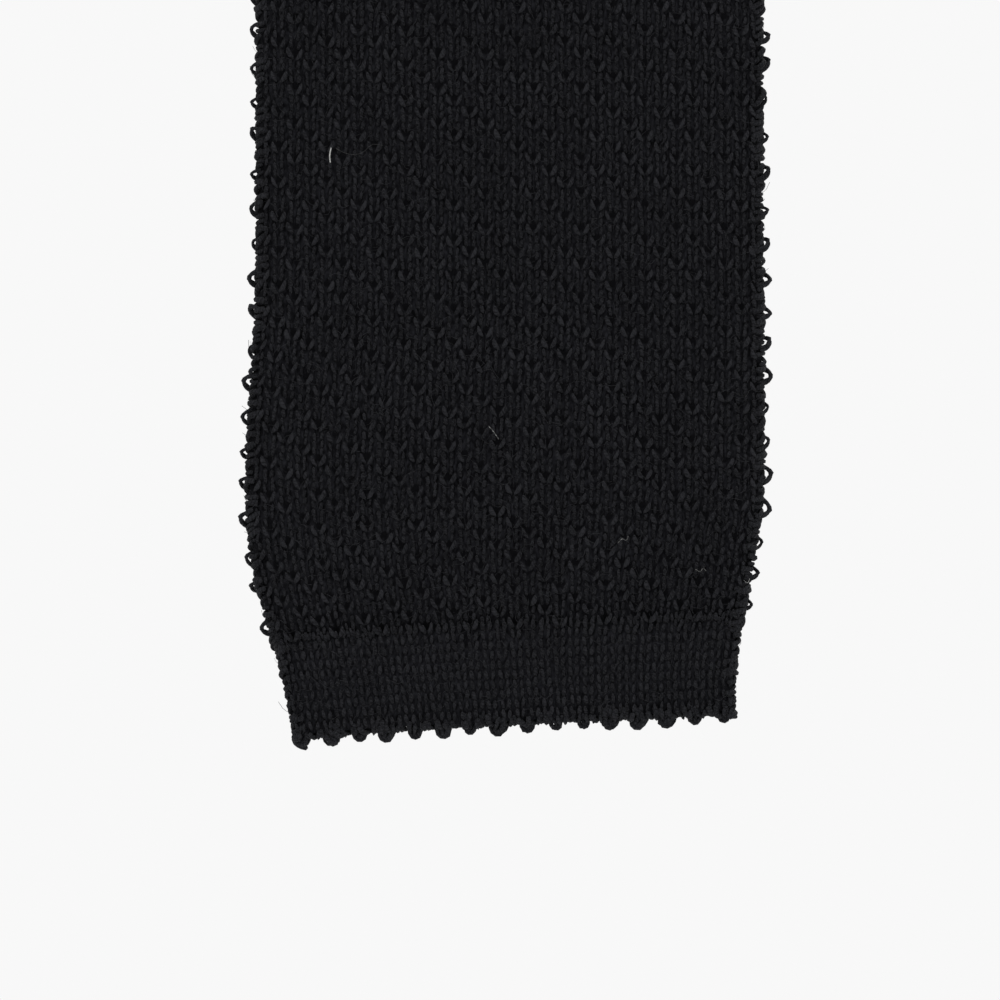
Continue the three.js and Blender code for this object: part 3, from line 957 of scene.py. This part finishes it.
def woven_material(name, dark, light, thread, roughness, sheen, specular, float_share):
    """Fine weaving: crossing threads of a width in metres, the warp floating over a share of the face."""
    material, tree, shader = new_material(name, roughness, sheen, specular)
    across, along = (sums(tree, "DIVIDE", axis, thread) for axis in map_axes(tree, "weave"))
    warp = sums(tree, "ABSOLUTE", sums(tree, "SINE", sums(tree, "MULTIPLY", across, math.pi)))
    weft = sums(tree, "ABSOLUTE", sums(tree, "SINE", sums(tree, "MULTIPLY", along, math.pi)))
    steps = sums(tree, "ADD", sums(tree, "MULTIPLY", sums(tree, "FLOOR", across), 2.0),
                 sums(tree, "FLOOR", along))
    turn = sums(tree, "FLOORED_MODULO", sums(tree, "MULTIPLY", steps, 0.2), 1.0)
    over = sums(tree, "LESS_THAN", turn, float_share)
    height = node(tree, "ShaderNodeMix", data_type="FLOAT")
    feed(tree, height.inputs[0], over)
    feed(tree, height.inputs[2], sums(tree, "MULTIPLY", weft, 0.6))
    feed(tree, height.inputs[3], warp)
    where = node(tree, "ShaderNodeTexCoord").outputs["Object"]
    wear = sums(tree, "MULTIPLY", noise(tree, where, 900.0, 3.0), 0.4)
    # The colour follows the height of the threads: painted shade between the threads and painted light on     their crowns and on the floats, with a noise for wear.
    amount = sums(tree, "MULTIPLY_ADD", height.outputs[0], 0.6, wear)
    shade_between(tree, shader, amount, dark, light)
    raise_fibres(tree, shader, height.outputs[0], 0.5, 0.05 * MM)
    return material


def ribbon(name, rows, thick, material):
    """A closed ribbon through rows of points, with its own map in metres across and along."""
    points = np.array(rows)
    count, across = points.shape[:2]
    steps = [np.linalg.norm(np.diff(points, axis=axis), axis=2) for axis in (1, 0)]
    x = np.concatenate([np.zeros((count, 1)), np.cumsum(steps[0], axis=1)], axis=1)
    y = np.concatenate([np.zeros((1, across)), np.cumsum(steps[1], axis=0)], axis=0)
    sheet = add_object(name, grid_mesh(name, points, np.stack([x, y], axis=-1), "weave"))
    wall = sheet.modifiers.new("wall", "SOLIDIFY")
    wall.thickness = thick
    wall.offset = 0
    round_over = sheet.modifiers.new("soft edges", "BEVEL")
    round_over.width = thick * 0.3
    round_over.segments = 2
    made = made_plain(sheet, name)
    made.data.materials.append(material)
    return made


tape_weave = woven_material("black woven ribbon", (0.005, 0.005, 0.006), (0.02, 0.02, 0.023), 0.3 * MM,
                            0.75, 0.02, 0.2, 0.5)
tape_pieces = {
    "blade_tape": (tape_start, top_of_fold, "blade_top", ("blade_stay_tape", "neck_stay_tape")),
    "tail_tape": (top_of_fold, tape_end, "tail_top", ("tail_stay_tape",)),
}
for name, (s0, s1, stretch, nodes) in tape_pieces.items():
    s = np.linspace(s0, s1, 60)[:, None]
    u = np.linspace(-tape_half, tape_half, 9)[None, :]
    tape = ribbon(name, on_tie(s, u + 0 * s, 0 * u), tape_thick, tape_weave)
    hang(tape, stretch)
    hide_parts(*nodes)


# ---- The keeper ---------------------------------------------------------------------------------------
# A band of black satin across the back of the blade, which the tail is tucked through. It is woven blank,
# bowed away from the blade, and sewn down at its two ends by bar tacks in black thread.
keeper_low, keeper_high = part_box("keeper_label")
keeper_tab, keeper_rise, label_thick = 3 * MM, 2.5 * MM, 0.34 * MM
keeper_sag, keeper_wave = 0.3 * MM, 0.12 * MM
satin = woven_material("blank black satin", (0.003, 0.003, 0.0037), (0.013, 0.013, 0.015), 0.22 * MM,
                       0.5, 0.015, 0.13, 0.8)
x = np.linspace(keeper_low.x, keeper_high.x, 91)[:, None]
z = np.linspace(keeper_low.z, keeper_high.z, 13)[None, :]
off_blade = smooth((keeper_high.x - keeper_tab - np.abs(x)) / keeper_rise)
lift = (keeper_high.y - keeper_low.y - label_thick - keeper_wave) * off_blade
lift = lift - keeper_sag * off_blade * (1 - (x / keeper_high.x) ** 2)
lift = lift + keeper_wave * off_blade * np.sin(x / (6 * MM) + z / (4 * MM))
y = keeper_low.y + label_thick / 2 + lift
keeper = ribbon("keeper_band", np.stack([x + 0 * z, y, z + 0 * x], axis=-1), label_thick, satin)
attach(keeper, "blade_lower")
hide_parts("keeper_label")


def thread_row_group():
    """A row of like stitches of sewing thread."""
    t, given, out = new_group("Row of thread", [
        ("Thread", "Object", None), ("Count", "Int", 10), ("Start", "Vector", None),
        ("Step", "Vector", None), ("Material", "Material", None)])
    line = node(t, "GeometryNodeMeshLine", mode="OFFSET")
    feed(t, line.inputs["Count"], given["Count"])
    feed(t, line.inputs["Start Location"], given["Start"])
    feed(t, line.inputs["Offset"], given["Step"])
    sewn = plant(t, line.outputs[0], given["Thread"], {"Scale": (MM, MM, MM)})
    sewn = store_tone_and_painted_light(t, sewn, random_value(t, 0.4, 0.7, 5))
    finish_group(t, sewn, given["Material"], out["Geometry"])
    return t


thread_tree = thread_row_group()
thread = yarn_material("black sewing thread", (0.004, 0.004, 0.0045), (0.02, 0.02, 0.022), 6.0, 0.3)
thread_half = 0.13


def thread_row(name, knots, count, start, step):
    """A row of stitches, each along knots in millimetres."""
    strand = yarn_shape(name + " stitch", *tube_points([curved_strand(knots, 7, thread_half)], 5))
    shapes.append(strand)
    empty = add_object(name, bpy.data.meshes.new(name))
    row = worked(empty, thread_tree, name, {
        "Thread": strand, "Count": count, "Start": tuple(map(float, start)),
        "Step": tuple(map(float, step)), "Material": thread})
    return row


tack_step = 0.33 * MM
tack_knots = [(-0.62, -0.45, -0.16), (-0.5, 0.0, -0.16), (0.0, 0.08, 0.0), (0.5, 0.0, 0.16),
              (0.62, -0.45, 0.16)]
for hand_name in hands:
    low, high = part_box(f"keeper_{hand_name}_tack")
    count = math.floor((high.z - low.z) / tack_step)
    start = ((low.x + high.x) / 2, (low.y + high.y) / 2, low.z + tack_step / 2)
    tack = thread_row(f"keeper_{hand_name}_bar_tack", tack_knots, count, start, (0, 0, tack_step))
    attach(tack, "blade_lower")
    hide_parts(f"keeper_{hand_name}_tack")


# ---- The care label -----------------------------------------------------------------------------------
# A small folded label of the same blank satin under the keeper. Its top edge is sewn to the back of the
# blade, and the rest hangs free, so that it can be turned up and read.
care_low, care_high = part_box("care_label")
seam_low, seam_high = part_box("care_label_stitches")
care_thick, care_gap = 0.16 * MM, 0.05 * MM
back_y = care_low.y + care_thick / 2
front_y = back_y + care_thick + care_gap
fold_half = (front_y - back_y) / 2
bottom = care_low.z + fold_half + care_thick
turn = np.linspace(-math.pi / 2, math.pi / 2, 7)
down = np.linspace(seam_high.z, bottom, 25)
fold_y = back_y + fold_half * (1 + np.sin(turn[1:-1]))
fold_z = bottom - fold_half * np.cos(turn[1:-1])
care_y = np.concatenate([0 * down + back_y, fold_y, 0 * down + front_y])[:, None]
care_z = np.concatenate([down, fold_z, down[::-1]])[:, None]
care_x = np.linspace(care_low.x, care_high.x, 15)[None, :]
care = ribbon("care_label_satin", np.stack(np.broadcast_arrays(care_x, care_y, care_z), axis=-1),
              care_thick, satin)
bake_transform(care)
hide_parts("care_label")
seam_knots = [(-0.55, -0.3, 0.0), (-0.45, 0.05, 0.0), (0.0, 0.1, 0.0), (0.45, 0.05, 0.0),
              (0.55, -0.3, 0.0)]
seam_step = 1.3 * MM
seam_count = math.floor((seam_high.x - seam_low.x) / seam_step)
seam_start = (seam_low.x + seam_step * 0.6, front_y + care_thick, (seam_low.z + seam_high.z) / 2)
care_seam = thread_row("care_label_seam", seam_knots, seam_count, seam_start, (seam_step, 0, 0))
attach(care_seam, "blade_lower")
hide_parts("care_label_stitches")


# ---- The loose fibres ---------------------------------------------------------------------------------
# Wool always sheds a little: fine dark hairs stand off the face and the edges, and a few pale ones
# that came from somewhere else cling to the blade.
def hair_shape(name, knots, half_thick):
    made = yarn_shape(name, *tube_points([curved_strand(knots, 6, half_thick)], 3))
    shapes.append(made)
    return made


short_knots = [(0.0, 0, -0.5), (0.22, 0.1, -0.1), (0.3, 0.3, 0.3), (0.15, 0.2, 0.7)]
long_knots = [(-0.2, 0, -1.0), (0.3, 0.1, -0.5), (0.6, -0.3, 0.2), (0.4, 0.4, 0.9)]
short_hair = hair_shape("short hair", short_knots, 0.027)
long_hair = hair_shape("long hair", long_knots, 0.02)
hair_yarn = yarn_material("loose black fibres", (0.004, 0.004, 0.005), (0.021, 0.0215, 0.0245), 1.0, 0.0)
draw = np.random.default_rng(20)


def hairs(name, points, outward, onward, body, values):
    """A hair at each point, every third one a long one."""
    mesh = bpy.data.meshes.new(name)
    mesh.from_pydata(points.tolist(), [], [])
    kinds = 1.0 + (np.arange(len(points)) % 3 == 0)
    aim_points(mesh, kinds, onward, outward)
    base = add_object(name, mesh)
    looks = {"Wrap": short_hair, "Loop": long_hair, "Uneven Size": 0.5, "Material": hair_yarn}
    made = worked(base, edging_tree, name, looks | values)
    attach(made, body)


fluffy = 100 * MM
hair_level, lint_level = ground_level + 0.85 * MM, ground_level + 1.15 * MM
face_count, edge_count = 3600, 90
s = draw.uniform(2 * MM, fluffy, face_count)
u = draw.uniform(-1, 1, face_count) * (half_width(s) - 0.8 * MM)
points = on_tie(s, u, hair_level)
angle = draw.uniform(0, 2 * math.pi, face_count)
onward = np.stack([np.cos(angle), draw.uniform(-0.25, 0.1, face_count), np.sin(angle)], axis=-1)
outward = np.tile((0.0, -1.0, 0.0), (face_count, 1))
hairs("face_hairs", points, outward, onward, "blade_end", {"Uneven Turn": 0.3, "Seed": 3})
s = draw.uniform(2 * MM, fluffy, edge_count)
hand = np.where(np.arange(edge_count) % 2, 1.0, -1.0)
points = on_tie(s, hand * (half_width(s) - 0.7 * MM), draw.uniform(-0.9, 0.9, edge_count) * MM)
outward = np.stack([hand, 0 * hand, draw.uniform(-0.6, 0.6, edge_count)], axis=-1)
onward = np.stack([0.5 * hand, draw.uniform(-0.6, 0.6, edge_count), np.ones(edge_count)], axis=-1)
hairs("edge_hairs", points, outward, onward, "blade_end", {"Uneven Turn": 0.6, "Seed": 4})

# Each pale fibre is half its thickness in millimetres, its tone, and where it lies: millimetres to the
# right of the middle and up from the end.
pale_fibre = yarn_material("pale fibres", (0.03, 0.03, 0.03), (0.3, 0.3, 0.29), 1.0, 0.0)
lint_paths = [
    (0.09, 0.8, [(-21.1, 68.9), (-21.15, 69.8), (-21.0, 70.6)]),
    (0.024, -0.5, [(-20.5, 70.6), (-19.6, 70.1), (-18.4, 69.8), (-17.2, 70.1), (-16.2, 71.0),
                   (-14.9, 70.9)]),
    (0.05, 0.3, [(-0.8, 35.7), (-1.4, 36.6), (-2.0, 37.3)]),
    (0.04, 0.1, [(13.3, 22.4), (13.8, 22.9), (14.3, 22.7), (14.5, 23.2)]),
    (0.05, 0.2, [(22.4, 18.8), (22.9, 18.5), (23.3, 18.9), (23.6, 18.6)]),
    (0.035, 0.0, [(28.0, 17.2), (28.4, 16.9), (28.7, 17.4)]),
]
lint_rings, lint_around = 12, 4
lint_strands = []
lint_tones = []
for half_thick, tone_and_painted_light, path in lint_paths:
    lint_tones += [tone_and_painted_light] * (lint_rings * lint_around + 2)
    across, along = curved(path, lint_rings).T * MM
    lint_strands.append(np.column_stack([on_tie(along, across, lint_level),
                                         np.full(lint_rings, half_thick * MM)]))
lint = yarn_shape("pale_lint", *tube_points(lint_strands, lint_around))
lint.data.attributes.new("tone_and_painted_light", "FLOAT", "POINT").data.foreach_set("value", lint_tones)
lint.data.materials.append(pale_fibre)
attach(lint, "blade_end")


# ---- The parts of the frame that the cloth stands in for ----------------------------------------------
# A ply is knitted flat to shape. The node that each stretch stands for in the frame is named here, and
# hidden.
ply_nodes = {
    "blade_end": ["blade_end"], "blade_low": [], "blade_mid": ["blade_lower"], "blade_top": ["blade_upper"],
    "tail_top": ["neck"], "tail_mid": ["tail_upper"], "tail_end": ["tail_end"],
}
for (stretch, side_name), ground in grounds.items():
    for body in ply_nodes[stretch]:
        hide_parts(f"{body}_{side_name}_ply")
    s0, s1 = stretches[stretch][:2]
    stations = np.linspace(max(s0, hem_height), min(s1, tie_length - hem_height), 50)
for (end, side_name), (band, *finish) in hems.items():
    widest = blade_end_half if end == "blade" else tail_end_half
for hand_name in hands:
    for (stretch, side_name), finish in stitched.items():
        if side_name == "front":
            for body in ply_nodes[stretch]:
                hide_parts(f"{body}_{hand_name}_edge")
for shape in shapes:
    bpy.data.objects.remove(shape)


# ---- The light, the floor and the camera --------------------------------------------------------------
# Plain white studio light all round, a little stronger from above in front, and a pale floor below.
def white_world(strength):
    world = bpy.data.worlds.new("white studio")
    world.use_nodes = True
    background = world.node_tree.nodes["Background"]
    background.inputs["Color"].default_value = (strength, strength, strength, 1)
    bpy.context.scene.world = world


def soft_light(name, at, aim, size, power):
    light = bpy.data.lights.new(name, "AREA")
    light.shape = "DISK"
    light.size = size
    light.energy = power
    lamp = add_object(name, light)
    lamp.location = at
    lamp.rotation_euler = (Vector(aim) - Vector(at)).to_track_quat("-Z", "Y").to_euler()
    lamp.visible_camera = False


white_world(0.939)
middle = (0, 0, -blade_drop / 2)
soft_light("key light", (-0.7, -1.5, 0.6), middle, 0.8, 26)
soft_light("fill light", (1.2, -1.2, -0.5), middle, 1.0, 9)
soft_light("back light", (0.5, 1.6, 0.4), middle, 1.0, 22)


def pale_material():
    material, tree, shader = new_material("pale floor", 0.9, 0.0, 0.1)
    where = node(tree, "ShaderNodeTexCoord").outputs["Object"]
    shade_between(tree, shader, noise(tree, where, 3.0, 2.0), (0.86, 0.86, 0.86), (0.9, 0.9, 0.9))
    return material


floor_radius, floor_drop = 3.5, 0.3
bpy.ops.mesh.primitive_circle_add(vertices=96, radius=floor_radius, fill_type="NGON",
                                  location=(0, 0, -blade_drop - floor_drop))
floor = bpy.context.object
floor.name = "floor"
floor.data.materials.append(pale_material())
floor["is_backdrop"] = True

view_height, view_below_end, view_middle = 117.6 * MM, 29.6 * MM, -1.13 * MM
camera_gap = 1.3
sensor_width = 36
camera_data = bpy.data.cameras.new("camera")
camera_data.sensor_width = sensor_width
camera_data.lens = sensor_width * camera_gap / view_height
camera_data.clip_start, camera_data.clip_end = 0.1, 50
camera = add_object("camera", camera_data)
camera.location = (view_middle, -face_reach - camera_gap, -blade_drop - view_below_end + view_height / 2)
camera.rotation_euler = (math.pi / 2, 0, 0)
bpy.context.scene.camera = camera
bpy.context.scene.view_settings.view_transform = "Standard"

low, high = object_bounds()
